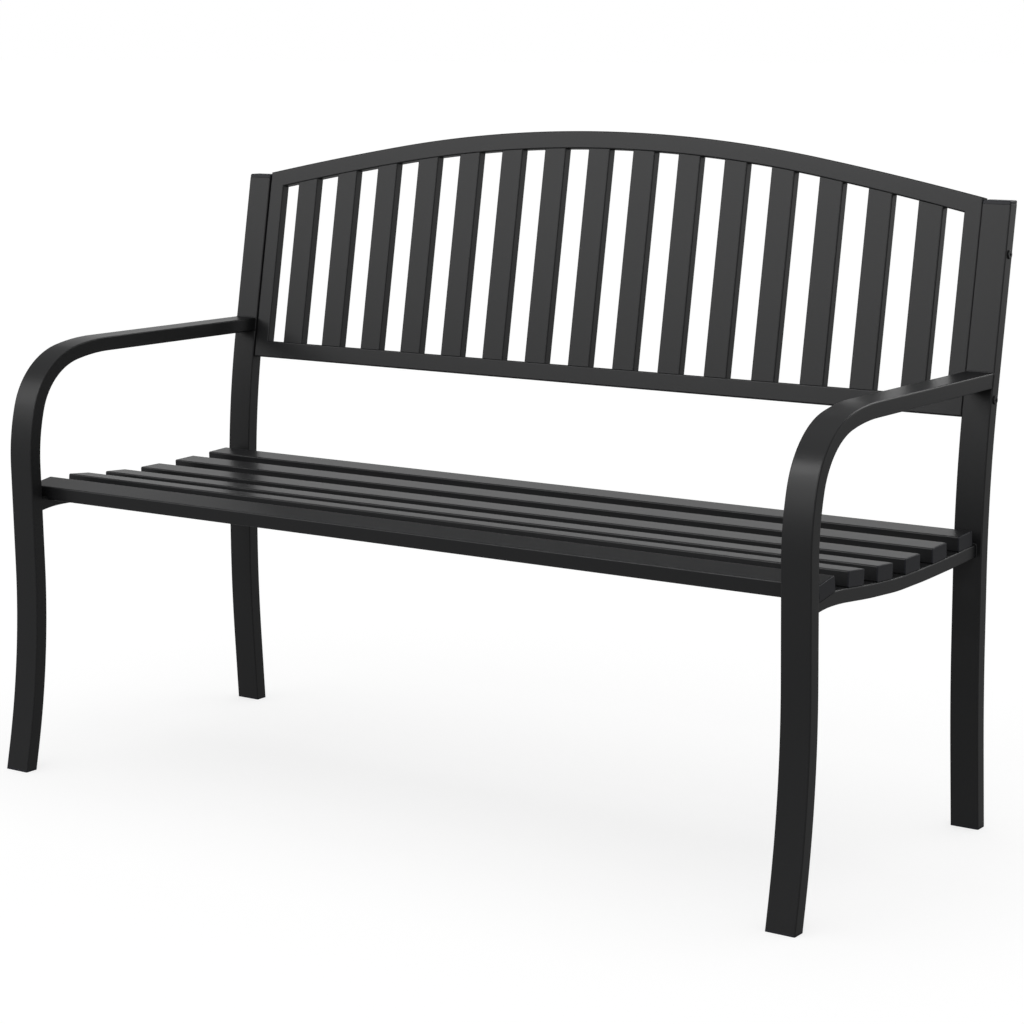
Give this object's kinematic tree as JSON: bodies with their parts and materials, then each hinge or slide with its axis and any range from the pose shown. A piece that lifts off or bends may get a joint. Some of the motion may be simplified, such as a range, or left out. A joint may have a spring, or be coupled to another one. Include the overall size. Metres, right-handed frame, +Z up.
{
  "type": "outdoor bench",
  "caption": "Two-seat garden bench of satin black steel tube, with bent side frames that form the legs and armrests, a contoured slatted seat and a leaning slatted back with an arched top rail.",
  "frame": {"origin": "on the floor, in the middle of the bench's width and depth", "axes": "+X along the bench, towards the left hand of a person sitting on it, +Y from the seat's front to its back, +Z up"},
  "size_m": [1.274, 0.5784, 0.8936],
  "materials": {
    "frame_steel": "satin",
    "seat_steel": "satin",
    "back_steel": "satin",
    "black_plastic": "satin",
    "fastener": "satin"
  },
  "bodies": {
    "root": {"left_front_leg_arm": "frame_steel", "left_rear_leg_upright": "frame_steel", "right_front_leg_arm": "frame_steel", "right_rear_leg_upright": "frame_steel", "left_seat_rail": "frame_steel", "right_seat_rail": "frame_steel", "seat_slat_1": "seat_steel", "seat_slat_2": "seat_steel", "seat_slat_3": "seat_steel", "seat_slat_4": "seat_steel", "seat_slat_5": "seat_steel", "seat_slat_6": "seat_steel", "left_slat_plugs": "black_plastic", "right_slat_plugs": "black_plastic", "seat_bolts": "fastener", "seat_bolt_nuts": "fastener", "back_top_rail": "back_steel", "back_bottom_rail": "back_steel", "left_back_stile": "back_steel", "right_back_stile": "back_steel", "back_slat_01": "back_steel", "back_slat_02": "back_steel", "back_slat_03": "back_steel", "back_slat_04": "back_steel", "back_slat_05": "back_steel", "back_slat_06": "back_steel", "back_slat_07": "back_steel", "back_slat_08": "back_steel", "back_slat_09": "back_steel", "back_slat_10": "back_steel", "back_slat_11": "back_steel", "back_slat_12": "back_steel", "back_slat_13": "back_steel", "back_slat_14": "back_steel", "back_slat_15": "back_steel", "back_bolts": "fastener", "back_bolt_nuts": "fastener", "left_upright_cap": "black_plastic", "right_upright_cap": "black_plastic", "left_front_foot": "black_plastic", "right_front_foot": "black_plastic", "left_rear_foot": "black_plastic", "right_rear_foot": "black_plastic"}
  },
  "joints": []
}
